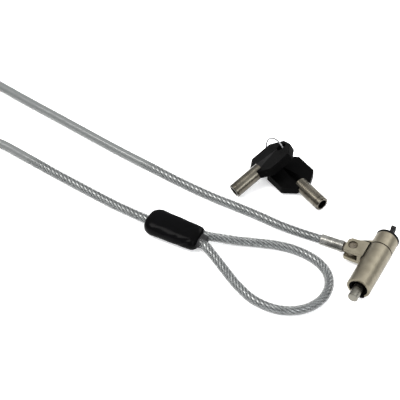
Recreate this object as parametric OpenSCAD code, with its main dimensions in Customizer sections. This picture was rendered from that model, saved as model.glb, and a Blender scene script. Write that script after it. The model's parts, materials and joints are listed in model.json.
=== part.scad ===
// Laptop cable lock: a push-to-lock barrel with a turning security-slot hook, on a
// jacketed steel cable that ends in a crimped loop, with its two tubular keys.
//
// Millimetres, +Z up. The origin is the centre of the rubber pad's front face, on the
// lock's axis. +Y runs along the lock's axis towards the laptop. Everything lies on a
// table at z = table_z, and the cable leaves the lock towards -X.

/* [Barrel] */
// Outer radius of the barrel
barrel_r = 6.25; // [6:0.05:6.5]
// Distance from the pad's face to the rim round the keyway
barrel_len = 38; // [37.8:0.1:39]
// Radius of the bore that the lock core slides in
core_bore_r = 5; // [5:0.01:5.03]
// Thickness of the rubber pad
pad_t = 1.3; // [1:0.1:1.5]
// Radius of the hole in the pad, round the hook
pad_hole_r = 3.2; // [2.8:0.1:3.6]

/* [Lock core] */
// How far the post travels when it is pushed in
stroke = 4; // [3:0.1:4]
// Radius of the post that the tubular key slides over
post_r = 2.65; // [2.5:0.05:2.7]
// Length of post that stands proud of the rim
post_proud = 7; // [6:0.1:8]
// Number of tumbler pins round the post
pin_count = 7; // [5:1:8]
// Radius of one tumbler pin
pin_r = 0.42; // [0.3:0.01:0.42]

/* [Hook] */
// Height of the hook's head at rest
head_h = 3.6; // [3.3:0.1:4.4]
// Width of the hook's head and neck
head_w = 2.4; // [2:0.1:2.6]
// Thickness of the hook's head
head_t = 2.2; // [1.8:0.1:2.4]
// Reach of the hook in front of the pad
hook_reach = 8.2; // [7.5:0.1:8.6]

/* [Clevis] */
// Overall height of the clevis
clevis_h = 7.4; // [7.2:0.1:8]
// Thickness of each ear
ear_t = 1.9; // [1.8:0.05:1.95]
// Radius of the pivot pin
pivot_r = 1.5; // [1.3:0.05:1.6]

/* [Cable] */
// Outside diameter of the jacketed cable
cable_d = 5; // [4.9:0.05:5]
// Whole turns in the stored coil
coil_turns = 6.5; // [6.5:1:6.5]
// Length of the black sleeve over the loop's crimp
sleeve_len = 31; // [30:0.5:33]
// Width of the sleeve
sleeve_w = 16.5; // [15:0.5:16.5]
// Height of the sleeve
sleeve_h = 9.8; // [9:0.1:10]

/* [Keys] */
// Outer radius of a key's tube
key_r = 3.8; // [3.7:0.05:3.85]
// Inner radius of a key's tube
key_bore_r = 2.75; // [2.72:0.01:2.8]
// Length of tube in front of the bow
key_len = 15.3; // [14:0.1:17]
// Half width of the moulded bow
bow_half_w = 10.8; // [10:0.1:12]
// Length of the bow along the key
bow_len = 23.6; // [23:0.1:25]
// Thickness of the bow
bow_t = 4.6; // [4.2:0.1:4.6]
// Mean radius of the key ring
ring_r = 8.35; // [8.3:0.05:8.4]

/* [Hidden] */
$fn = 64;

table_z = -barrel_r;
cable_r = cable_d / 2;

// stations along the lock's axis
collar_y = -10;                 // shoulder that the swivel collar runs against
web_y = -12;                    // front end of the core's bore
rim_y = -barrel_len;
rotor_y = -33;                  // face at the bottom of the keyway
shear_y = -29.5;                // plane between the rotor and the stator
stator_y = -24.5;
drive_y = -16.6;                // front end of the stator's cam sleeve
washer_t = 0.5;
spigot_r = 4.7;
collar_r = 6.15;
shaft_r = 1.5;
shaft_bore_r = 1.56;
flange_r = 2.5;
cam_pin_y = -18.2;
cam_pin_r = 0.45;
cam_sleeve_r = 2.6;
run_gap = 0.05;                 // running clearance
tab_angle = 63;                 // where the keyway ring's tab crosses the rim
tab_w = 2.2;
pin_ring_r = 3.28;              // radius of the circle of tumbler pins
hook_turn = 90;                 // turn of the hook over one full stroke
spring_wire_r = 0.35;
spring_coil_r = 3.7;

// clevis and cable eye
pivot = [-12.9, -15.5];
clevis_back_x = -4.6;
clevis_web_x = -8.7;            // front of the web that joins the two ears
clevis_gap = 0.7;               // space between the clevis and the barrel
clevis_front_x = -16.4;
clevis_low_y = -20;
clevis_high_y = -11;
eye_t = 3.4;
eye_r = 3.5;
lead_angle = 183;               // heading of the ferrule, from +X
ferrule_from = 4.9;
ferrule_to = 17.2;
ferrule_r = 2.95;

// routes of the cable's centre, chosen by hand; the coil's turns are worked out
lock_route = [[-30, -16.4, 0], [-37, -16.5, -0.5], [-46, -15.6, -2],
    [-56, -14.3, -3.4], [-68, -13.1, -3.75], [-82, -12.6, -3.75], [-97, -12, -3.75],
    [-115, -10.3, -3.75], [-135, -7.6, -3.75], [-155, -4.8, -3.75],
    [-175, -1.5, -3.75], [-196, 2.1, -3.75], [-216, 5.4, -3.75],
    [-236, 9, -3.75], [-250, 11.5, -3.75], [-264, 13.8, -3.75], [-280, 15, -3.75]];
loop_run_route = [[-267.3, -56.8, 1.25], [-258, -53, 0], [-248, -48, -2.2],
    [-240, -42.2, -3.3], [-232, -36, -3.7], [-225, -31.6, -3.75],
    [-217.5, -29.5, -3.75], [-210, -29.8, -3.75], [-193, -32.6, -3.75], [-174, -35.6, -3.75],
    [-158, -37.9, -3.75], [-142, -40.2, -3.6], [-130, -42, -2.8],
    [-115.8, -43.5, -1.75]];
loop_route = [[-84.7, -39.7, -1.75], [-78, -37.5, -2.4], [-70, -34.4, -3.4],
    [-60, -30.6, -3.75], [-50, -27.4, -3.75], [-41, -26, -3.75],
    [-32, -26.5, -3.75], [-23.5, -29.4, -3.75], [-17.4, -34.8, -3.75],
    [-14.3, -42, -3.75], [-14.4, -50, -3.75], [-18.2, -57.8, -3.75],
    [-25.2, -63.6, -3.75], [-34.5, -66.2, -3.75], [-45.5, -65.2, -3.75],
    [-56.5, -60.4, -3.75], [-67, -54, -3.6], [-76, -48.9, -2.6],
    [-84.2, -45.3, -1.75]];
coil_centre = [-280, -22];
coil_r = 29;                    // middle of the turns
coil_layers = 2;
coil_span = coil_turns / coil_layers * cable_d;
tube_sides = 10;

// the crimp sleeve lies along its own line
sleeve_centre = [-100.7, -43.7, table_z + sleeve_h / 2];
sleeve_angle = -1;
crimp_len = 22;
crimp_w = 10.5;
crimp_h = 6;

// where each key's tube leaves its bow, and how the key lies
key_1_at = [-79.6, 8.7, 2.2];
key_1_heading = 245.2;
key_1_pitch = 17.5;
key_1_roll = 28.9;
key_2_at = [-54.3, 15, table_z + key_r];
key_2_heading = -26.4;
ring_hole = [5.6, 4.4];         // length and width of the slot for the ring
ring_hole_x = bow_len - 4.1;
tube_seat = 3.2;                // length of round tube inside the bow
tang = [9, 3.2, 2.4];           // flat tang moulded into the bow behind it
ring_centre = [-76.5, 26.9, 2.5];
ring_tilt = [0, 97.2, 63.4];

metal = "silver";
dark = "#1a1a1c";

// ---- helpers -------------------------------------------------------------------

module rod_y(r, y0, y1) {
    translate([0, y0, 0])
        rotate([-90, 0, 0])
            cylinder(r = r, h = y1 - y0);
}

module around_y(count, radius) {
    for (i = [0:count - 1])
        rotate([0, i * 360 / count, 0])
            translate([0, 0, radius])
                children();
}

function unit(v) = v / norm(v);
function wrap(i, n) = max(0, min(n - 1, i));
function heading_at(path, i) =
    unit(path[wrap(i + 1, len(path))] - path[wrap(i - 1, len(path))]);
function side_of(t) = unit(cross([0, 0, 1], t));

// rings of points round a path that stays near the horizontal
function tube_rings(path, r, sides) = [
    for (i = [0:len(path) - 1])
        let (t = heading_at(path, i), s = side_of(t), u = cross(t, s))
            for (k = [0:sides - 1])
                path[i] + r * (cos(360 * (k + 0.5) / sides + 90) * s
                    + sin(360 * (k + 0.5) / sides + 90) * u)];
function tube_walls(rings, sides) = [
    for (i = [0:rings - 2])
        for (k = [0:sides - 1])
            let (a = i * sides + k, b = i * sides + (k + 1) % sides)
                [a, a + sides, b + sides, b]];
module tube(path, r, sides) {
    polyhedron(
        points = tube_rings(path, r, sides),
        faces = concat(
            [[for (k = [0:sides - 1]) k]],
            tube_walls(len(path), sides),
            [[for (k = [sides - 1:-1:0]) (len(path) - 1) * sides + k]]),
        convexity = 8);
}

// wire springs round the Y axis, swept as a helix
function helix(r, y0, y1, turns, steps) = [
    for (i = [0:turns * steps])
        [r * cos(360 * i / steps), y0 + (y1 - y0) * i / (turns * steps),
            r * sin(360 * i / steps)]];
function helix_rings(path, wire, sides) = [
    for (p = path)
        let (out = unit([p[0], 0, p[2]]))
            for (k = [0:sides - 1])
                p + wire * (cos(360 * k / sides) * out
                    + sin(360 * k / sides) * [0, 1, 0])];
module spring(r, wire, y0, y1, turns, steps, sides) {
    path = helix(r, y0 + wire, y1 - wire, turns, steps);
    polyhedron(
        points = helix_rings(path, wire, sides),
        faces = concat(
            [[for (k = [0:sides - 1]) k]],
            tube_walls(len(path), sides),
            [[for (k = [sides - 1:-1:0]) (len(path) - 1) * sides + k]]),
        convexity = 12);
}

// ---- barrel and swivel collar --------------------------------------------------

module barrel() {
    color(metal)
        difference() {
            union() {
                rod_y(barrel_r, rim_y + 0.4, collar_y - 0.3);
                translate([0, collar_y - 0.3, 0])
                    rotate([-90, 0, 0])
                        cylinder(r1 = barrel_r, r2 = barrel_r - 0.3, h = 0.3);
                translate([0, rim_y, 0])
                    rotate([-90, 0, 0])
                        cylinder(r1 = barrel_r - 0.4, r2 = barrel_r, h = 0.4);
                rod_y(spigot_r, collar_y, -pad_t);
            }
            rod_y(core_bore_r, rim_y - 1, web_y);
            rotate([0, tab_angle, 0])
                translate([core_bore_r - 0.5, rim_y - 1, -tab_w / 2 - run_gap])
                    cube([3, 2.2, tab_w + 2 * run_gap]);
            rod_y(flange_r + 0.1, web_y - 1, collar_y - 0.6);
            rod_y(shaft_bore_r, web_y - 1, 1);
        }
}

// the collar turns on the barrel's spigot and carries the clevis behind it
module swivel_collar() {
    color(metal)
        difference() {
            union() {
                rod_y(collar_r, collar_y + run_gap + 0.3, -pad_t - 1);
                translate([0, collar_y + run_gap, 0])
                    rotate([-90, 0, 0])
                        cylinder(r1 = collar_r - 0.3, r2 = collar_r, h = 0.3);
                clevis_arm();
            }
            rod_y(spigot_r + run_gap, collar_y - 1, 1);
            clevis_clearance();
            translate([pivot[0], pivot[1], -clevis_h])
                cylinder(r = pivot_r, h = 2 * clevis_h);
            for (s = [0, 1])
                mirror([0, 0, s])
                    translate([pivot[0], pivot[1], clevis_h / 2 - 1])
                        cylinder(r = pivot_r + 1, h = 2);
        }
}

module clevis_outline() {
    polygon([[clevis_front_x, clevis_low_y + 0.8], [clevis_front_x + 0.8, clevis_low_y],
        [clevis_back_x, clevis_low_y], [clevis_back_x, collar_y - 1],
        [-4, collar_y + 0.2], [-4, collar_y + 2.4], [-6, collar_y + 1.6],
        [-11, clevis_high_y], [clevis_front_x + 1.4, clevis_high_y - 0.4],
        [clevis_front_x, clevis_high_y - 1.8]]);
}

module clevis_arm() {
    difference() {
        translate([0, 0, -clevis_h / 2])
            linear_extrude(clevis_h)
                clevis_outline();
        translate([clevis_front_x - 1, clevis_low_y - 1, -clevis_h / 2 + ear_t])
            cube([clevis_web_x - clevis_front_x + 1, 12, clevis_h - 2 * ear_t]);
    }
}

// room for the barrel to turn inside the arm
module clevis_clearance() {
    rod_y(barrel_r + clevis_gap, rim_y, collar_y + run_gap);
}

module retaining_ring() {
    color(metal)
        difference() {
            rod_y(collar_r - 0.1, -pad_t - 1 + run_gap, -pad_t);
            rod_y(spigot_r, -pad_t - 2, 1);
        }
}

module rubber_pad() {
    color(dark)
        difference() {
            rod_y(barrel_r, -pad_t, 0);
            rod_y(pad_hole_r, -pad_t - 1, 1);
        }
}

module keyway_ring() {
    color(dark)
        difference() {
            union() {
                rod_y(core_bore_r, rim_y + 0.7, rotor_y - run_gap);
                rotate([0, tab_angle, 0])
                    translate([core_bore_r - 0.6, rim_y - 0.5, -tab_w / 2])
                        cube([barrel_r - core_bore_r + 0.4, 1.6, tab_w]);
            }
            rod_y(key_r + 0.15, rim_y - 2, rotor_y + 1);
            translate([-0.9, rim_y + 0.6, 3])
                cube([1.8, 3, 1.5]);
        }
}

// ---- lock core -----------------------------------------------------------------

module pin_holes(y0, y1) {
    around_y(pin_count, pin_ring_r)
        rod_y(pin_r + 0.03, y0, y1);
}

module cam_slots() {
    steps = 10;
    for (i = [0:steps])
        rotate([0, hook_turn * i / steps, 0])
            translate([0, cam_pin_y - stroke * i / steps, -cam_sleeve_r - 1])
                cylinder(r = cam_pin_r + 0.3, h = 2 * cam_sleeve_r + 2);
}

module stator() {
    color("goldenrod")
        difference() {
            union() {
                rod_y(core_bore_r - run_gap, shear_y, stator_y);
                rod_y(cam_sleeve_r, stator_y, drive_y);
            }
            rod_y(shaft_bore_r, shear_y + 1, drive_y + 1);
            pin_holes(shear_y - 1, shear_y + 4);
            cam_slots();
        }
}

module driver_pins() {
    color("gold")
        around_y(pin_count, pin_ring_r)
            rod_y(pin_r, shear_y + 0.02, shear_y + 1.5);
}

module tumbler_springs() {
    color("gray")
        around_y(pin_count, pin_ring_r)
            difference() {
                rod_y(0.36, shear_y + 1.52, shear_y + 3.98);
                rod_y(0.2, shear_y + 1, shear_y + 5);
            }
}

module rotor_post() {
    color(metal)
        difference() {
            union() {
                rod_y(core_bore_r - run_gap, rotor_y, shear_y - 0.02);
                rod_y(post_r, rim_y - post_proud + 0.3, rotor_y);
                translate([0, rim_y - post_proud, 0])
                    rotate([-90, 0, 0])
                        cylinder(r1 = post_r - 0.3, r2 = post_r, h = 0.3);
            }
            pin_holes(rotor_y - 1, shear_y + 1);
            translate([-0.6, rotor_y - 4, post_r - 0.7])
                cube([1.2, 4.5, 2]);
        }
}

module key_pins() {
    color("gold")
        around_y(pin_count, pin_ring_r)
            rod_y(pin_r, rotor_y - 0.15, shear_y - 0.02);
}

module main_spring() {
    color("gray")
        spring(spring_coil_r, spring_wire_r, stator_y + 0.03,
            web_y - washer_t - 0.03, 6, 16, 6);
}

module spring_washer() {
    color(metal)
        difference() {
            rod_y(core_bore_r - 0.4, web_y - washer_t, web_y);
            rod_y(shaft_r + 0.1, web_y - 1, web_y + 1);
        }
}

module hook() {
    color(dark)
        difference() {
            union() {
                rod_y(shaft_r, stator_y + 0.5, 0);
                rod_y(flange_r, web_y + 0.05, collar_y - 0.65);
                intersection() {
                    rod_y(shaft_r, -1, hook_reach);
                    translate([-head_w / 2 + 0.2, -1, -2])
                        cube([head_w - 0.4, hook_reach, 4]);
                }
                translate([0, hook_reach - head_t, 0])
                    hook_head();
            }
            translate([0, cam_pin_y, -4])
                cylinder(r = cam_pin_r, h = 8);
        }
}

module hook_head() {
    nib = 0.5;
    translate([-head_w / 2, 0, 0])
        rotate([90, 0, 90])
            linear_extrude(head_w)
                polygon([[0, -head_h / 2], [head_t - nib, -head_h / 2],
                    [head_t, -head_h / 2 + nib], [head_t, head_h / 2 - nib],
                    [head_t - nib, head_h / 2], [0, head_h / 2]]);
}

module cam_pin() {
    color("gray")
        translate([0, cam_pin_y, -cam_sleeve_r + 0.2])
            cylinder(r = cam_pin_r, h = 2 * cam_sleeve_r - 0.4);
}

// ---- cable and its fittings ----------------------------------------------------

module pivot_pin() {
    color(metal)
        translate([pivot[0], pivot[1], 0]) {
            translate([0, 0, -clevis_h / 2 + 0.6])
                cylinder(r = pivot_r, h = clevis_h - 1.2);
            for (s = [0, 1])
                mirror([0, 0, s])
                    translate([0, 0, clevis_h / 2 - 1])
                        riveted_end();
        }
}

// an upset head with the dimple that the riveting punch leaves
module riveted_end() {
    difference() {
        cylinder(r1 = pivot_r + 0.7, r2 = pivot_r + 0.4, h = 0.7);
        translate([0, 0, 0.4])
            cylinder(r1 = 0.55, r2 = 0.9, h = 0.4);
    }
}

module along_lead() {
    translate([pivot[0], pivot[1], 0])
        rotate([0, 0, lead_angle])
            children();
}

module cable_eye() {
    color(metal)
        along_lead()
            difference() {
                union() {
                    translate([0, 0, -eye_t / 2])
                        cylinder(r = eye_r, h = eye_t);
                    translate([0, -2.2, -eye_t / 2])
                        cube([ferrule_from, 4.4, eye_t]);
                }
                translate([0, 0, -eye_t])
                    cylinder(r = pivot_r + run_gap, h = 2 * eye_t);
            }
}

module lock_ferrule() {
    color(metal)
        along_lead()
            translate([ferrule_from, 0, 0])
                rotate([0, 90, 0])
                    difference() {
                        union() {
                            cylinder(r = ferrule_r, h = ferrule_to - ferrule_from);
                            cylinder(r = ferrule_r + 0.15, h = 2);
                        }
                        translate([0, 0, ferrule_to - ferrule_from - 0.8])
                            cylinder(r = cable_r + 0.02, h = 2);
                    }
}

module cable_lock_run() {
    color("lightgray")
        tube(lock_route, cable_r, tube_sides);
}

module cable_coil() {
    inner = coil_r - coil_span / 2 - cable_r;
    outer = coil_r + coil_span / 2 + cable_r;
    color("lightgray")
        translate([coil_centre[0], coil_centre[1], table_z])
            rotate_extrude($fn = 96)
                polygon([[inner + 1.5, 0], [outer - 1.5, 0], [outer, 1.5],
                    [outer, coil_layers * cable_d - 1.5],
                    [outer - 1.5, coil_layers * cable_d],
                    [inner + 1.5, coil_layers * cable_d],
                    [inner, coil_layers * cable_d - 1.5], [inner, 1.5]]);
}

module coil_tie() {
    inner = coil_r - coil_span / 2 - cable_r;
    outer = coil_r + coil_span / 2 + cable_r;
    band_w = 6;
    band_t = 0.8;
    top = coil_layers * cable_d + band_t;
    color(dark)
        translate([coil_centre[0], coil_centre[1], table_z])
            rotate([0, 0, 180])
                difference() {
                    translate([inner - band_t, -band_w / 2, 0])
                        cube([outer - inner + 2 * band_t, band_w, top]);
                    translate([inner, -band_w, band_t / 2])
                        cube([outer - inner, 2 * band_w, top - 1.5 * band_t]);
                }
}

module cable_loop_run() {
    color("lightgray")
        tube(loop_run_route, cable_r, tube_sides);
}

module cable_loop() {
    color("lightgray")
        tube(loop_route, cable_r, tube_sides);
}

module stadium(w, h) {
    square([w - h, h], center = true);
    for (s = [-1, 1])
        translate([s * (w - h) / 2, 0])
            circle(d = h);
}

module along_sleeve() {
    translate(sleeve_centre)
        rotate([0, 0, sleeve_angle])
            rotate([90, 0, 90])
                children();
}

module loop_crimp() {
    color("gainsboro")
        along_sleeve()
            translate([0, 0, -crimp_len / 2])
                linear_extrude(crimp_len)
                    stadium(crimp_w, crimp_h);
}

module crimp_sleeve() {
    color(dark)
        along_sleeve()
            difference() {
                translate([0, 0, -sleeve_len / 2])
                    linear_extrude(sleeve_len)
                        stadium(sleeve_w, sleeve_h);
                translate([0, 0, -crimp_len / 2])
                    linear_extrude(crimp_len)
                        stadium(crimp_w, crimp_h);
            }
}

// ---- keys ----------------------------------------------------------------------

// a key's own frame: the tube runs along +X from the bow's front edge
module place_key_1() {
    translate(key_1_at)
        rotate([0, 0, key_1_heading])
            rotate([key_1_roll, key_1_pitch, 0])
                children();
}

module place_key_2() {
    translate(key_2_at)
        rotate([0, 0, key_2_heading])
            children();
}

module bow_half() {
    polygon([[0, -1], [0, 4.3], [-4.7, bow_half_w - 0.5], [-5.4, bow_half_w],
        [-bow_len + 6.2, bow_half_w], [-bow_len + 5.4, bow_half_w - 0.5],
        [-bow_len, 3.6], [-bow_len, -1]]);
}

module tang_block() {
    translate([-tube_seat - tang[0], -tang[1] / 2, -tang[2] / 2])
        cube([tang[0] + 0.5, tang[1], tang[2]]);
}

module bow() {
    color(dark)
        difference() {
            translate([0, 0, -bow_t / 2])
                linear_extrude(bow_t) {
                    bow_half();
                    mirror([0, 1])
                        bow_half();
                }
            translate([-tube_seat, 0, 0])
                rotate([0, 90, 0])
                    cylinder(r = key_r, h = tube_seat + 1);
            tang_block();
            translate([-ring_hole_x, 0, -bow_t])
                linear_extrude(2 * bow_t)
                    stadium(ring_hole[0], ring_hole[1]);
        }
}

module key_tube() {
    color(metal)
        difference() {
            union() {
                tang_block();
                translate([-tube_seat, 0, 0])
                    rotate([0, 90, 0])
                        cylinder(r = key_r, h = tube_seat + key_len - 0.4);
                translate([key_len - 0.4, 0, 0])
                    rotate([0, 90, 0])
                        cylinder(r1 = key_r, r2 = key_r - 0.3, h = 0.4);
            }
            translate([key_len - 9, 0, 0])
                rotate([0, 90, 0])
                    cylinder(r = key_bore_r, h = 10);
            translate([key_len - 2.6, 0, 0])
                rotate([0, 90, 0])
                    rotate_extrude()
                        translate([key_r - 0.2, 0])
                            square([1, 0.5]);
            for (i = [0:pin_count - 1])
                rotate([i * 360 / pin_count, 0, 0])
                    translate([key_len - 0.7 - 0.2 * (i % 3), -pin_r, key_r - 0.65])
                        cube([3, 2 * pin_r, 2]);
        }
}

module key_1_bow() {
    place_key_1() bow();
}

module key_1_tube() {
    place_key_1() key_tube();
}

module key_2_bow() {
    place_key_2() bow();
}

module key_2_tube() {
    place_key_2() key_tube();
}

module key_ring() {
    color(metal)
        translate(ring_centre)
            rotate(ring_tilt)
                rotate_extrude()
                    translate([ring_r, 0])
                        circle(r = 0.4, $fn = 24);
}

barrel();
swivel_collar();
retaining_ring();
rubber_pad();
keyway_ring();
stator();
driver_pins();
tumbler_springs();
rotor_post();
key_pins();
main_spring();
spring_washer();
hook();
cam_pin();
pivot_pin();
cable_eye();
lock_ferrule();
cable_lock_run();
cable_coil();
coil_tie();
cable_loop_run();
loop_crimp();
crimp_sleeve();
cable_loop();
key_1_bow();
key_1_tube();
key_2_bow();
key_2_tube();
key_ring();
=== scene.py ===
"""Looks of the laptop cable lock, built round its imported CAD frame. Metres, +Z up."""

import json
import math

import bmesh
import bpy
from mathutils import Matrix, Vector


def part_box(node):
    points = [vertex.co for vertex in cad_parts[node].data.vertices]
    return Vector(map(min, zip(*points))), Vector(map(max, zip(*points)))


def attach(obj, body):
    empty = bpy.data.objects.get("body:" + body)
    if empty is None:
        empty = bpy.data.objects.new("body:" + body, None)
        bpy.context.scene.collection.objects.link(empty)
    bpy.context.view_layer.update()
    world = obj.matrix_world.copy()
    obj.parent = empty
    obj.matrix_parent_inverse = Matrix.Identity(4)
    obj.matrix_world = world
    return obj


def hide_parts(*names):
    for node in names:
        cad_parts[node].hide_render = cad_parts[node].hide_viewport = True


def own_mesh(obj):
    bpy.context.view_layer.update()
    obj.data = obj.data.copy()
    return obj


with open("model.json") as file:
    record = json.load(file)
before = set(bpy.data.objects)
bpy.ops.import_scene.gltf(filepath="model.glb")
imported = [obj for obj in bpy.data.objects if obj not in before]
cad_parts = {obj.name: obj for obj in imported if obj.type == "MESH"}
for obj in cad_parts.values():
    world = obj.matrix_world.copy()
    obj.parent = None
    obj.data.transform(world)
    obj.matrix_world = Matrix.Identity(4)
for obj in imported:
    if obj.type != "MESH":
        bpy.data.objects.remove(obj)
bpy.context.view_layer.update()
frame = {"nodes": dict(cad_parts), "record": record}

TABLE_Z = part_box("cable_coil")[0][2]

# ---- camera ----------------------------------------------------------------------

VIEW_AZIMUTH = 27.3
VIEW_ELEVATION = 46.7
VIEW_DISTANCE = 0.9
VIEW_TARGET = Vector((-0.0978, -0.0203, 0.0))
LENS_MM = 155.0


def make_camera():
    az, el = math.radians(VIEW_AZIMUTH), math.radians(VIEW_ELEVATION)
    back = Vector((math.sin(az) * math.cos(el), -math.cos(az) * math.cos(el), math.sin(el)))
    data = bpy.data.cameras.new("camera")
    data.lens = LENS_MM
    data.sensor_width = 36.0
    data.clip_start = 0.01
    camera = bpy.data.objects.new("camera", data)
    camera.location = VIEW_TARGET + back * VIEW_DISTANCE
    camera.rotation_euler = back.to_track_quat("Z", "Y").to_euler()
    bpy.context.collection.objects.link(camera)
    bpy.context.scene.camera = camera


# ---- the cable's route ---------------------------------------------------------------

# Centre line of the cable. The part's source has the same points, and one more at the end of
# each run that meets the coil, where the turns take over here. The way through the sleeve is
# only here.

CABLE_D = 0.005
CABLE_R = CABLE_D / 2
LAY_Z = TABLE_Z + CABLE_R

LOCK_ROUTE = [
    (-0.030, -0.0164, 0), (-0.037, -0.0165, -0.0005), (-0.046, -0.0156, -0.002),
    (-0.056, -0.0143, -0.0034), (-0.068, -0.0131, -0.00375), (-0.082, -0.0126, -0.00375),
    (-0.097, -0.012, -0.00375), (-0.115, -0.0103, -0.00375), (-0.135, -0.0076, -0.00375),
    (-0.155, -0.0048, -0.00375), (-0.175, -0.0015, -0.00375), (-0.196, 0.0021, -0.00375),
    (-0.216, 0.0054, -0.00375), (-0.236, 0.009, -0.00375), (-0.250, 0.0115, -0.00375),
    (-0.264, 0.0138, -0.00375),
]
LOOP_RUN_ROUTE = [
    (-0.258, -0.053, 0), (-0.248, -0.048, -0.0022), (-0.240, -0.0422, -0.0033),
    (-0.232, -0.036, -0.0037), (-0.225, -0.0316, -0.00375), (-0.2175, -0.0295, -0.00375),
    (-0.210, -0.0298, -0.00375), (-0.193, -0.0326, -0.00375),
    (-0.174, -0.0356, -0.00375), (-0.158, -0.0379, -0.00375),
    (-0.142, -0.0402, -0.0036), (-0.130, -0.042, -0.0028), (-0.1158, -0.0435, -0.00175),
]
SLEEVE_WAY_IN = [(-0.105, -0.0418, -0.00175), (-0.095, -0.0402, -0.00175)]
LOOP_ROUTE = [
    (-0.0847, -0.0397, -0.00175), (-0.078, -0.0375, -0.0024), (-0.070, -0.0344, -0.0034),
    (-0.060, -0.0306, -0.00375), (-0.050, -0.0274, -0.00375), (-0.041, -0.026, -0.00375),
    (-0.032, -0.0265, -0.00375), (-0.0235, -0.0294, -0.00375), (-0.0174, -0.0348, -0.00375),
    (-0.0143, -0.042, -0.00375), (-0.0144, -0.050, -0.00375), (-0.0182, -0.0578, -0.00375),
    (-0.0252, -0.0636, -0.00375), (-0.0345, -0.0662, -0.00375), (-0.0455, -0.0652, -0.00375),
    (-0.0565, -0.0604, -0.00375), (-0.067, -0.054, -0.0036), (-0.076, -0.0489, -0.0026),
    (-0.0842, -0.0453, -0.00175),
]
SLEEVE_WAY_BACK = [(-0.095, -0.0455, -0.00175), (-0.107, -0.0466, -0.00175)]
COIL_CENTRE = (-0.280, -0.022)
COIL_MEAN_R = 0.029
COIL_TURNS = 6.5
COIL_LEAD = 20 / 360        # extra part of a turn before the cable leaves
COIL_STEPS = 24             # points to a turn
COIL_START = 90             # heading of the first turn's start, in degrees
LAYER_CLIMB = 0.7           # part of a turn over which the cable climbs a layer


def smooth(x):
    """From 0 to 1 with a soft start and end."""
    x = max(0.0, min(1.0, x))
    return x * x * (3 - 2 * x)


def coil_points():
    """Two layers of turns: inwards along the table, then outwards on top."""
    half = COIL_TURNS / 2
    outer = COIL_MEAN_R + half * CABLE_D / 2
    points = []
    total = COIL_TURNS + COIL_LEAD
    count = int(total * COIL_STEPS)
    for i in range(count + 1):
        turn = total * i / count
        angle = math.radians(COIL_START + 360 * turn)
        radius = outer - CABLE_D * (turn if turn < half else 2 * half - turn)
        lift = CABLE_D * smooth((turn - half + LAYER_CLIMB / 2) / LAYER_CLIMB)
        points.append((
            COIL_CENTRE[0] + radius * math.cos(angle),
            COIL_CENTRE[1] + radius * math.sin(angle),
            LAY_Z + lift,
        ))
    return points


CURVE_STEPS = 12            # parts that each span of a curve is worked out in


def catmull(points, spacing):
    """Evenly spaced points along a smooth curve through these."""
    pts = [Vector(p) for p in points]
    dense = []
    for i in range(len(pts) - 1):
        a = pts[max(i - 1, 0)]
        b, c = pts[i], pts[i + 1]
        d = pts[min(i + 2, len(pts) - 1)]
        for k in range(CURVE_STEPS):
            f = k / CURVE_STEPS
            dense.append(0.5 * (2 * b + (c - a) * f + (2 * a - 5 * b + 4 * c - d) * f * f
                                + (3 * b - a - 3 * c + d) * f ** 3))
    dense.append(pts[-1])
    even, carried = [dense[0]], 0.0
    for p, q in zip(dense, dense[1:]):
        step = (q - p).length
        while carried + step >= spacing:
            p = p.lerp(q, (spacing - carried) / step)
            step = (q - p).length
            even.append(p.copy())
            carried = 0.0
        carried += step
    even.append(dense[-1])
    return even


def link(mesh, name):
    obj = bpy.data.objects.new(name, mesh)
    bpy.context.collection.objects.link(obj)
    return obj


def sweep(name, path, section_at, sides):
    """A mesh along path; section_at(distance, k) gives a point's (side, up) offset."""
    bm = bmesh.new()
    rings, run = [], 0.0
    for i, p in enumerate(path):
        if i:
            run += (p - path[i - 1]).length
        ahead = (path[min(i + 1, len(path) - 1)] - path[max(i - 1, 0)]).normalized()
        side = Vector((0, 0, 1)).cross(ahead).normalized()
        up = ahead.cross(side)
        ring = []
        for k in range(sides):
            x, y = section_at(run, k)
            ring.append(bm.verts.new(p + side * x + up * y))
        rings.append(ring)
    for a, b in zip(rings, rings[1:]):
        for k in range(sides):
            n = (k + 1) % sides
            bm.faces.new((a[k], a[n], b[n], b[k]))
    bm.faces.new(list(reversed(rings[0])))
    bm.faces.new(rings[-1])
    mesh = bpy.data.meshes.new(name)
    bm.to_mesh(mesh)
    bm.free()
    for face in mesh.polygons:
        face.use_smooth = True
    return link(mesh, name)


STRANDS = 7
STRAND_WIRES = 2
ROPE_LAY = 0.0195           # length of one full twist
CORE_R = 0.00215
STRAND_DEPTH = 0.00048
WIRE_DEPTH = 0.00010
POINTS_PER_STRAND = 12
ROPE_SIDES = STRANDS * POINTS_PER_STRAND
JACKET_SIDES = 24
CORE_SPACING = 0.0011
JACKET_SPACING = 0.0022
CORD_SPACING = 0.004


def rope_relief(k):
    """How far a point of the outline is from a strand's and a wire's crest."""
    turn = 2 * math.pi * k / ROPE_SIDES
    lobe = 1 - abs(math.sin(STRANDS * turn / 2))
    wire = 1 - abs(math.sin(STRANDS * STRAND_WIRES * turn / 2)) ** 0.7
    return lobe, wire


def rope_section(run, k):
    """Twisted strands, each of a few wires, as one lobed outline."""
    lobe, wire = rope_relief(k)
    radius = CORE_R - STRAND_DEPTH * lobe - WIRE_DEPTH * wire
    angle = 2 * math.pi * (k / ROPE_SIDES + run / ROPE_LAY)
    return radius * math.cos(angle), radius * math.sin(angle)


def store_grooves(obj):
    """Keep each point's depth between strands, which the material turns into painted shade."""
    layer = obj.data.attributes.new("groove", "FLOAT", "POINT")
    depths = []
    for k in range(ROPE_SIDES):
        lobe, wire = rope_relief(k)
        depths.append(min(1.0, 1.1 * lobe + 0.25 * wire))
    for i in range(len(obj.data.vertices)):
        layer.data[i].value = depths[i % ROPE_SIDES]


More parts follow.
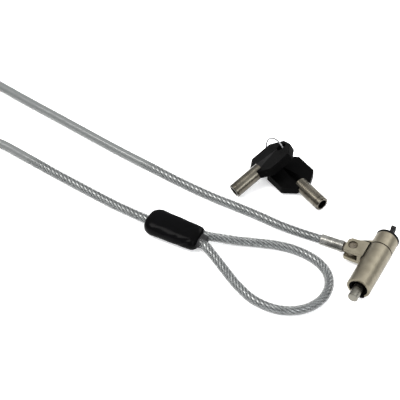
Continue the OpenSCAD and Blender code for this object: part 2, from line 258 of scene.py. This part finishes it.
def make_cable(looks):
    """The clear jacket and the strands inside it, along the whole route."""
    route = (LOCK_ROUTE + coil_points() + LOOP_RUN_ROUTE + SLEEVE_WAY_IN + LOOP_ROUTE
             + SLEEVE_WAY_BACK)

    def jacket_section(run, k):
        angle = 2 * math.pi * k / JACKET_SIDES
        return CABLE_R * math.cos(angle), CABLE_R * math.sin(angle)

    jacket = sweep("cable_jacket", catmull(route, JACKET_SPACING), jacket_section,
                   JACKET_SIDES)
    jacket.data.materials.append(looks["jacket"])
    core = sweep("cable_strands", catmull(route, CORE_SPACING), rope_section, ROPE_SIDES)
    store_grooves(core)
    core.data.materials.append(looks["strand"])
    for piece in (jacket, core):
        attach(piece, "cable")
    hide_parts("cable_lock_run", "cable_coil", "cable_loop_run", "cable_loop")
    centre = catmull(route, CORD_SPACING)


# ---- materials -------------------------------------------------------------------

def new_material(name):
    """An empty material with its shader joined to its output."""
    material = bpy.data.materials.new(name)
    material.use_nodes = True
    tree = material.node_tree
    tree.nodes.clear()
    out = tree.nodes.new("ShaderNodeOutputMaterial")
    shader = tree.nodes.new("ShaderNodeBsdfPrincipled")
    tree.links.new(shader.outputs[0], out.inputs[0])
    coords = tree.nodes.new("ShaderNodeTexCoord")
    return material, tree, shader, coords


def noise(tree, coords, scale, detail, stretch=None):
    """Cloudy variation, drawn out by stretch where it is given."""
    vector = coords.outputs["Object"]
    if stretch:
        mapping = tree.nodes.new("ShaderNodeMapping")
        mapping.inputs["Scale"].default_value = stretch
        tree.links.new(vector, mapping.inputs["Vector"])
        vector = mapping.outputs[0]
    node = tree.nodes.new("ShaderNodeTexNoise")
    node.inputs["Scale"].default_value = scale
    node.inputs["Detail"].default_value = detail
    tree.links.new(vector, node.inputs["Vector"])
    return node.outputs[0]


def ramp(tree, value, low, high, low_at=0.3, high_at=0.7):
    """From low to high, as value goes from low_at to high_at."""
    node = tree.nodes.new("ShaderNodeMapRange")
    node.inputs["From Min"].default_value = low_at
    node.inputs["From Max"].default_value = high_at
    node.inputs["To Min"].default_value = low
    node.inputs["To Max"].default_value = high
    tree.links.new(value, node.inputs["Value"])
    return node.outputs[0]


def colours(tree, value, a, b):
    """From colour a to colour b, as value goes from 0 to 1."""
    node = tree.nodes.new("ShaderNodeMix")
    node.data_type = "RGBA"
    node.inputs["A"].default_value = (*a, 1)
    node.inputs["B"].default_value = (*b, 1)
    tree.links.new(value, node.inputs["Factor"])
    return node.outputs["Result"]


def mix_in(tree, base, colour, amount):
    """The colour of base, turning to a fixed colour by amount."""
    node = tree.nodes.new("ShaderNodeMix")
    node.data_type = "RGBA"
    node.inputs["B"].default_value = (*colour, 1)
    tree.links.new(amount, node.inputs["Factor"])
    tree.links.new(base, node.inputs["A"])
    return node.outputs["Result"]


def math_node(tree, operation, *values):
    """A sum on outputs of other nodes and plain numbers."""
    node = tree.nodes.new("ShaderNodeMath")
    node.operation = operation
    for socket, value in zip(node.inputs, values):
        if isinstance(value, (int, float)):
            socket.default_value = value
        else:
            tree.links.new(value, socket)
    return node.outputs[0]


def position(tree, coords, kind="Object"):
    """The x, y and z of the point being shaded."""
    node = tree.nodes.new("ShaderNodeSeparateXYZ")
    tree.links.new(coords.outputs[kind], node.inputs[0])
    return node.outputs


def add_bump(tree, shader, height, strength, distance):
    node = tree.nodes.new("ShaderNodeBump")
    node.inputs["Strength"].default_value = strength
    node.inputs["Distance"].default_value = distance
    tree.links.new(height, node.inputs["Height"])
    tree.links.new(node.outputs[0], shader.inputs["Normal"])


WORN_POINTINESS = (0.52, 0.60)     # where wear on an edge starts and is full
SEAM_Y = -0.010                    # of the seam between the collar and the barrel
# colour of the painted shade along the seam, in place of the groove's own shadow
SEAM_SHADE = (0.012, 0.010, 0.008)
SEAM_HALF_WIDTH = (0.00030, 0.00046)   # full painted shade within the first, none past the second


def edge_wear(tree, lift):
    """A little extra light on worn edges, from the surface's own curvature."""
    geometry = tree.nodes.new("ShaderNodeNewGeometry")
    return ramp(tree, geometry.outputs["Pointiness"], 0.0, lift, *WORN_POINTINESS)


def painted_seam_shade(tree, coords, colour):
    """The colour with painted shade in the turned seam between the collar and the barrel."""
    past_seam = math_node(tree, "ADD", position(tree, coords)["Y"], -SEAM_Y)
    distance = math_node(tree, "ABSOLUTE", past_seam)
    return mix_in(tree, colour, SEAM_SHADE, ramp(tree, distance, 1, 0, *SEAM_HALF_WIDTH))


def metal(name, dark, light, rough, grain=2600, grain_bump=0.25, stretch=None, wear=0.25,
          seam=False):
    """Plated or turned metal: cloudy tone, fine grain and brighter worn edges."""
    material, tree, shader, coords = new_material(name)
    cloud = noise(tree, coords, 180, 3)
    fine = noise(tree, coords, grain, 3, stretch)
    base = colours(tree, ramp(tree, cloud, 0, 1), dark, light)
    worn = [min(1, c * 1.35) for c in light]
    tone = mix_in(tree, base, worn, edge_wear(tree, wear))
    # a narrow band of painted shade along the seam
    if seam:
        tone = painted_seam_shade(tree, coords, tone)
    tree.links.new(tone, shader.inputs["Base Color"])
    shader.inputs["Metallic"].default_value = 1.0
    tree.links.new(ramp(tree, fine, rough * 0.8, rough * 1.25), shader.inputs["Roughness"])
    add_bump(tree, shader, fine, grain_bump, 0.00004)
    return material


def plastic(name, dark, light, rough, grain=2200, grain_bump=0.3, gloss=0.032):
    """Moulded or rubbery black surface with a fine texture."""
    material, tree, shader, coords = new_material(name)
    cloud = noise(tree, coords, 130, 3)
    fine = noise(tree, coords, grain, 2)
    tree.links.new(colours(tree, ramp(tree, cloud, 0, 1), dark, light),
                   shader.inputs["Base Color"])
    tree.links.new(ramp(tree, fine, rough * 0.85, rough * 1.15), shader.inputs["Roughness"])
    shader.inputs["Specular IOR Level"].default_value = gloss
    add_bump(tree, shader, fine, grain_bump, 0.00005)
    return material


def woven(name, dark, light):
    """Hook-and-loop strap: a fine crossed weave."""
    material, tree, shader, coords = new_material(name)
    across = noise(tree, coords, 1500, 2, (1, 0.15, 1))
    along = noise(tree, coords, 1500, 2, (0.15, 1, 1))
    both = math_node(tree, "MULTIPLY", across, along)
    tree.links.new(colours(tree, ramp(tree, both, 0, 1, 0.15, 0.4), dark, light),
                   shader.inputs["Base Color"])
    shader.inputs["Roughness"].default_value = 0.9
    shader.inputs["Sheen Weight"].default_value = 0.3
    add_bump(tree, shader, both, 0.8, 0.0002)
    return material


STRAND_TONES = (0.19, 0.197, 0.197), (0.33, 0.34, 0.34)
# colour of the painted shade in the grooves between strands
GROOVE_SHADE = (0.075, 0.079, 0.081)


def strand_look():
    """Bright galvanised wire, with painted shade between the strands."""
    material, tree, shader, coords = new_material("strand")
    groove = tree.nodes.new("ShaderNodeAttribute")
    groove.attribute_name = "groove"
    cloud = noise(tree, coords, 260, 3)
    tone = colours(tree, ramp(tree, cloud, 0, 1), *STRAND_TONES)
    # how much painted shade, most where the groove is deepest
    depth = ramp(tree, groove.outputs["Fac"], 0, 1, 0.15, 0.95)
    tree.links.new(mix_in(tree, tone, GROOVE_SHADE, depth), shader.inputs["Base Color"])
    shader.inputs["Metallic"].default_value = 1.0
    fine = noise(tree, coords, 1500, 3)
    tree.links.new(ramp(tree, fine, 0.20, 0.36), shader.inputs["Roughness"])
    add_bump(tree, shader, fine, 0.25, 0.00005)
    return material


JACKET_TONE = (0.125, 0.132, 0.13)
CLOUDY_SLANT = -2.2                # the cloudy stretch ends on a line x + slant * y
CLOUDY_BAND = (-0.122, -0.098)     # fully cloudy below the first, clear above the second
CLOUDY_ALPHA = 0.88


def jacket_look():
    """Clear vinyl with a soft gloss, gone cloudy and grey along the far stretch."""
    material, tree, shader, coords = new_material("clear_jacket")
    place = position(tree, coords)
    nearness = math_node(tree, "MULTIPLY_ADD", place["Y"], CLOUDY_SLANT, place["X"])
    cloudy = ramp(tree, nearness, CLOUDY_ALPHA, 0.0, *CLOUDY_BAND)
    shader.inputs["Base Color"].default_value = (*JACKET_TONE, 1)
    fine = noise(tree, coords, 500, 2)
    tree.links.new(ramp(tree, fine, 0.14, 0.26), shader.inputs["Roughness"])
    facing = tree.nodes.new("ShaderNodeLayerWeight")
    facing.inputs["Blend"].default_value = 0.35
    skin = ramp(tree, facing.outputs["Facing"], 0.30, 0.75, 0.30, 0.90)
    tree.links.new(math_node(tree, "MAXIMUM", cloudy, skin), shader.inputs["Alpha"])
    add_bump(tree, shader, noise(tree, coords, 220, 2), 0.15, 0.0001)
    return material


def make_looks():
    return {
        "satin_nickel": metal("satin_nickel", (0.167, 0.149, 0.110), (0.225, 0.204, 0.153), 0.42,
                              seam=True),
        "bright_nickel": metal("bright_nickel", (0.12, 0.118, 0.108), (0.40, 0.395, 0.37), 0.27,
                               grain=420, grain_bump=0.6),
        # nickel darkened to paint the shade on the cable eye, in the gap between the clevis ears
        "painted_shade_nickel": metal("painted_shade_nickel", (0.07, 0.06, 0.05), (0.14, 0.125, 0.10), 0.45),
        "post_steel": metal("post_steel", (0.115, 0.110, 0.092), (0.19, 0.183, 0.157), 0.30,
                            stretch=(0.1, 1, 0.1)),
        "black_steel": plastic("black_steel", (0.008, 0.008, 0.008), (0.02, 0.02, 0.02), 0.45),
        "dark_pin": metal("dark_pin", (0.075, 0.062, 0.048), (0.15, 0.13, 0.10), 0.40),
        "brass": metal("brass", (0.40, 0.27, 0.10), (0.55, 0.39, 0.16), 0.30),
        "spring_steel": metal("spring_steel", (0.13, 0.13, 0.135), (0.22, 0.22, 0.225), 0.30),
        "black_rubber": plastic("black_rubber", (0.004, 0.004, 0.004), (0.009, 0.009, 0.009),
                                0.66),
        "black_plastic": plastic("black_plastic", (0.001, 0.001, 0.001), (0.0022, 0.0022, 0.0022),
                                 0.5, gloss=0.014),
        "black_sleeve": plastic("black_sleeve", (0.0015, 0.0015, 0.0015),
                                (0.0022, 0.0022, 0.0025), 0.2, grain=700, grain_bump=0.2,
                                gloss=0.022),
        "strap": woven("strap", (0.008, 0.008, 0.009), (0.03, 0.03, 0.032)),
        "crimp_alloy": metal("crimp_alloy", (0.40, 0.40, 0.41), (0.52, 0.52, 0.53), 0.3),
        "key_nickel": metal("key_nickel", (0.062, 0.056, 0.045), (0.125, 0.115, 0.092), 0.25,
                            grain=1800, grain_bump=0.15),
        "strand": strand_look(),
        "jacket": jacket_look(),
        "collar_grey": plastic("collar_grey", (0.014, 0.014, 0.0145), (0.032, 0.032, 0.033),
                               0.5),
    }


# ---- pieces ----------------------------------------------------------------------

NODE_LOOKS = {
    "satin_nickel": ["barrel", "swivel_collar", "retaining_ring"],
    "painted_shade_nickel": ["cable_eye"],
    "bright_nickel": ["lock_ferrule"],
    "post_steel": ["rotor_post", "spring_washer", "cam_pin"],
    "black_steel": ["hook"],
    "dark_pin": ["pivot_pin"],
    "brass": ["stator", "driver_pins", "key_pins"],
    "spring_steel": ["tumbler_springs", "main_spring", "key_ring"],
    "black_rubber": ["rubber_pad"],
    "black_plastic": ["keyway_ring", "key_1_bow", "key_2_bow"],
    "strap": ["coil_tie"],
    "crimp_alloy": ["loop_crimp"],
    "key_nickel": ["key_1_tube", "key_2_tube"],
}
BODY_OF = {
    node: body
    for body, members in frame["record"]["behaviour"]["bodies"].items()
    for node in members
}
EDGE_ROUNDING = {
    "barrel": 0.0002, "swivel_collar": 0.00035, "retaining_ring": 0.00012,
    "rubber_pad": 0.00025, "keyway_ring": 0.0001, "cable_eye": 0.0003,
    "lock_ferrule": 0.0003, "rotor_post": 0.00015, "hook": 0.00018, "pivot_pin": 0.00012,
    "key_1_bow": 0.0008, "key_2_bow": 0.0008, "key_1_tube": 0.00015, "key_2_tube": 0.00015,
    "coil_tie": 0.0003,
}


def node_mesh(name, look):
    """A copy of a node's mesh, where the node lies, in one material."""
    node = frame["nodes"][name]
    mesh = node.data.copy()
    mesh.transform(node.matrix_world)
    mesh.materials.clear()
    mesh.materials.append(look)
    return mesh


WELD_DISTANCE = 1e-6
SMOOTH_BELOW = 35           # degrees between two faces that are shaded as one surface
BEVEL_ABOVE = 38            # degrees between two faces whose edge is rounded


def soften(name, look):
    """A copy of a node with its sharp edges rounded, shown in the node's place."""
    mesh = node_mesh(name, look)
    bm = bmesh.new()
    bm.from_mesh(mesh)
    bmesh.ops.remove_doubles(bm, verts=bm.verts, dist=WELD_DISTANCE)
    bmesh.ops.dissolve_limit(bm, angle_limit=math.radians(1), verts=bm.verts, edges=bm.edges)
    for edge in bm.edges:
        edge.smooth = (not edge.is_manifold
                       or edge.calc_face_angle(0) < math.radians(SMOOTH_BELOW))
    for face in bm.faces:
        face.smooth = True
    bm.to_mesh(mesh)
    bm.free()
    piece = link(mesh, name + "_soft")
    bevel = piece.modifiers.new("rounded_edges", "BEVEL")
    bevel.width = EDGE_ROUNDING[name]
    bevel.segments = 3
    bevel.limit_method = "ANGLE"
    bevel.angle_limit = math.radians(BEVEL_ABOVE)
    bevel.use_clamp_overlap = True
    bevel.harden_normals = True
    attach(piece, BODY_OF[name])
    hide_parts(name)


def finish_nodes(looks):
    """Each node's look, and rounded edges where it has them."""
    for look, nodes in NODE_LOOKS.items():
        for name in nodes:
            obj = frame["nodes"][name]
            for s in obj.material_slots:
                s.material = looks[look]
            if name in EDGE_ROUNDING:
                soften(name, looks[look])


def make_main_spring(looks):
    """The main spring, a copy of its node carried with the barrel."""
    piece = link(node_mesh("main_spring", looks["spring_steel"]), "main_spring_turns")
    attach(piece, "barrel")
    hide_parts("main_spring")
    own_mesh(piece)


SQUARENESS = 2.6            # 2 is an ellipse; more is nearer to a box


def superellipse(width, height, angle):
    """A point of a flat oval outline."""
    c, s = math.cos(angle), math.sin(angle)
    return (width / 2 * math.copysign(abs(c) ** (2 / SQUARENESS), c),
            height / 2 * math.copysign(abs(s) ** (2 / SQUARENESS), s))


SLEEVE_ANGLE = -1           # heading of the sleeve on the table, in degrees
SLEEVE_LENGTH = 0.031
SLEEVE_WIDTH = 0.0165
SLEEVE_RINGS = 56
SLEEVE_SIDES = 48
SLEEVE_TAPER = 0.10         # narrower at the loop's end by this part
ROUND_START = 0.0062        # lengths over which its two ends round off
ROUND_END = 0.0040
THROAT_START = (-0.0876, -0.0437, TABLE_Z + 0.0043)
THROAT_SIZE = (0.0103, 0.0064)
THROAT_STEP = 0.0006
THROAT_STEPS = 9
THROAT_SIDES = 40


def sleeve_heading():
    """The directions along the sleeve and across it."""
    angle = math.radians(SLEEVE_ANGLE)
    return (Vector((math.cos(angle), math.sin(angle), 0)),
            Vector((-math.sin(angle), math.cos(angle), 0)))


def make_sleeve(looks):
    """The shrunk black sleeve: flat oval, round at the cable's end, gathered at the loop's."""
    lo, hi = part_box("crimp_sleeve")
    centre = (Vector(lo) + Vector(hi)) / 2
    along, side = sleeve_heading()
    height = hi[2] - lo[2]
    bm = bmesh.new()
    made = []
    for i in range(SLEEVE_RINGS + 1):
        f = i / SLEEVE_RINGS
        x = (f - 0.5) * SLEEVE_LENGTH
        start = min(1.0, f * SLEEVE_LENGTH / ROUND_START)
        end = min(1.0, (1 - f) * SLEEVE_LENGTH / ROUND_END)
        round_start = math.sqrt(max(0.0, 1 - (1 - start) ** 2))
        round_end = math.sqrt(max(0.0, 1 - (1 - end) ** 2.4))
        taper = 1 - SLEEVE_TAPER * f
        w = SLEEVE_WIDTH * (0.40 + 0.60 * round_start) * (0.62 + 0.38 * round_end) * taper
        h = height * taper * (0.56 + 0.44 * round_start) * (0.60 + 0.40 * round_end)
        ring = []
        for k in range(SLEEVE_SIDES):
            a = 2 * math.pi * k / SLEEVE_SIDES
            y, z = superellipse(w, h, a)
            crease = 0.00022 * smooth((f - 0.55) / 0.3) * math.sin(7 * a + 26 * f)
            crease += 0.00012 * math.sin(3 * a + 9 * f) * smooth(f / 0.2)
            scale = 1 - abs(crease) / 0.006
            z = max(z * scale, -height / 2)
            ring.append(bm.verts.new(centre + along * x + side * y * scale
                                     + Vector((0, 0, z + (h - height) * 0.18))))
        made.append(ring)
    for a, b in zip(made, made[1:]):
        for k in range(SLEEVE_SIDES):
            n = (k + 1) % SLEEVE_SIDES
            bm.faces.new((a[k], a[n], b[n], b[k]))
    bm.faces.new(list(reversed(made[0])))
    bm.faces.new(made[-1])
    bmesh.ops.recalc_face_normals(bm, faces=bm.faces)
    mesh = bpy.data.meshes.new("sleeve")
    bm.to_mesh(mesh)
    bm.free()
    for face in mesh.polygons:
        face.use_smooth = True
    mesh.materials.append(looks["black_sleeve"])
    sleeve = link(mesh, "sleeve")
    sub = sleeve.modifiers.new("smooth", "SUBSURF")
    sub.levels = sub.render_levels = 1
    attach(sleeve, "cable")
    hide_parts("crimp_sleeve")


def make_sleeve_throat(looks):
    """The grey inner tube that shows between the two strands at the sleeve's end."""
    along = sleeve_heading()[0]
    path = [Vector(THROAT_START) + along * (THROAT_STEP * i) for i in range(THROAT_STEPS + 1)]

    def section(run, k):
        shrink = 1 - 0.28 * smooth(run / (THROAT_STEPS * THROAT_STEP))
        width, height = THROAT_SIZE
        return superellipse(width * shrink, height * shrink, 2 * math.pi * k / THROAT_SIDES)

    throat = sweep("sleeve_throat", path, section, THROAT_SIDES)
    throat.data.materials.append(looks["collar_grey"])
    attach(throat, "cable")


def make_stage():
    """The pale table that the lock lies on."""
    bpy.ops.mesh.primitive_plane_add(size=6, location=(0, 0, TABLE_Z - 0.0001))
    floor = bpy.context.object
    floor.name = "floor"
    material, _, shader, _ = new_material("pale_floor")
    shader.inputs["Base Color"].default_value = (0.93, 0.93, 0.93, 1)
    shader.inputs["Roughness"].default_value = 0.9
    shader.inputs["Specular IOR Level"].default_value = 0.1
    shader.inputs["Emission Color"].default_value = (1, 1, 1, 1)
    shader.inputs["Emission Strength"].default_value = 0.3
    floor.data.materials.append(material)


def area_light(name, where, target, size, power, colour=(1, 1, 1)):
    data = bpy.data.lights.new(name, "AREA")
    data.shape = "RECTANGLE"
    data.size, data.size_y = size
    data.energy = power
    data.color = colour
    light = bpy.data.objects.new(name, data)
    light.location = where
    light.rotation_euler = (Vector(where) - Vector(target)).to_track_quat("Z", "Y").to_euler()
    bpy.context.collection.objects.link(light)


def make_lights():
    """A bright tent overhead with darker walls, so that bare metal keeps its tone."""
    world = bpy.data.worlds.new("studio")
    bpy.context.scene.world = world
    world.use_nodes = True
    tree = world.node_tree
    background = tree.nodes["Background"]
    coords = tree.nodes.new("ShaderNodeTexCoord")
    lit = ramp(tree, position(tree, coords, "Generated")["Z"], 0, 1, 0.0, 0.75)
    tree.links.new(colours(tree, lit, (0.30, 0.30, 0.31), (1.25, 1.26, 1.28)),
                   background.inputs["Color"])
    background.inputs["Strength"].default_value = 1.0
    middle = (-0.1, -0.02, 0)
    area_light("key_light", (-0.5, -0.3, 0.9), middle, (0.5, 0.5), 9, (1, 0.98, 0.95))
    area_light("fill_light", (0.6, -0.5, 0.6), middle, (0.6, 0.4), 4, (0.96, 0.98, 1))
    area_light("back_light", (0.2, 0.9, 0.6), middle, (0.8, 0.3), 5)
    bpy.context.scene.view_settings.view_transform = "Standard"


make_camera()
LOOKS = make_looks()
finish_nodes(LOOKS)
make_main_spring(LOOKS)
make_sleeve(LOOKS)
make_sleeve_throat(LOOKS)
make_cable(LOOKS)
make_stage()
make_lights()
